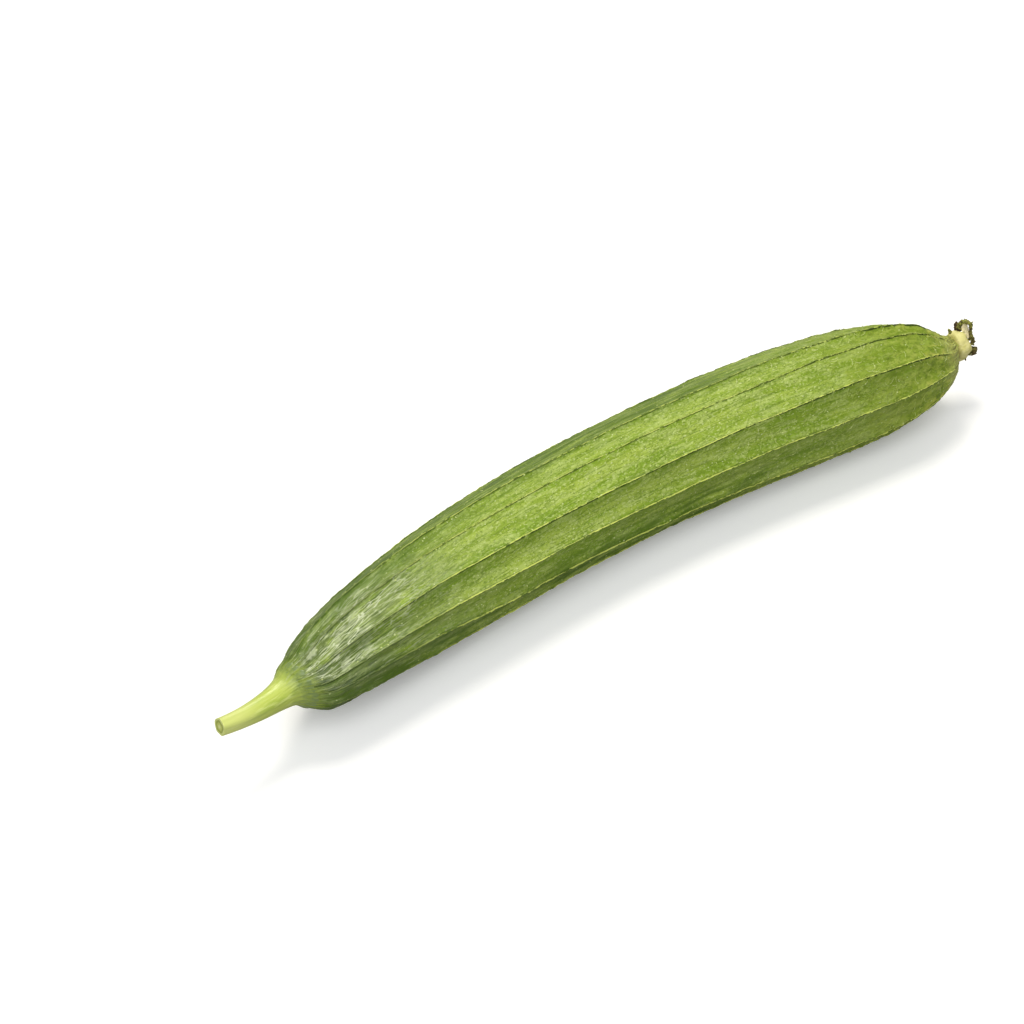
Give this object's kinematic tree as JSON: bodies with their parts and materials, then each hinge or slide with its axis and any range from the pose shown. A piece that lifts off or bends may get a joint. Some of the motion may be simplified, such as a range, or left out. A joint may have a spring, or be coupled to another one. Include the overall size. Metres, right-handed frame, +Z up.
{
  "type": "ridge gourd",
  "caption": "Whole ridge gourd as picked, lying on its side: a long, slightly bowed green fruit with sharp ridges, its cut stem at one end and a pale knob with the withered flower at the other.",
  "frame": {"origin": "the middle of the bounding box's underside, on the surface the gourd lies on", "axes": "+X from the stem's cut end to the withered flower, +Y the side towards which the fruit bows, +Z up from the surface it lies on"},
  "size_m": [0.3578, 0.055, 0.0487],
  "materials": {
    "skin": "fresh green rind with a faint waxy sheen, mottled paler, darker along the ridges",
    "stalk": "smooth yellow-green stalk with fine lengthwise grooves",
    "flower_cup": "smooth pale cream-yellow flesh",
    "withered_flower": "dry, crumpled brown petals"
  },
  "bodies": {
    "root": {"fruit": "skin", "stem": "stalk", "blossom_knob": "flower_cup", "sepal_1": "withered_flower", "sepal_2": "withered_flower", "sepal_3": "withered_flower", "sepal_4": "withered_flower", "sepal_5": "withered_flower", "withered_corolla": "withered_flower", "withered_style": "withered_flower"}
  },
  "joints": []
}
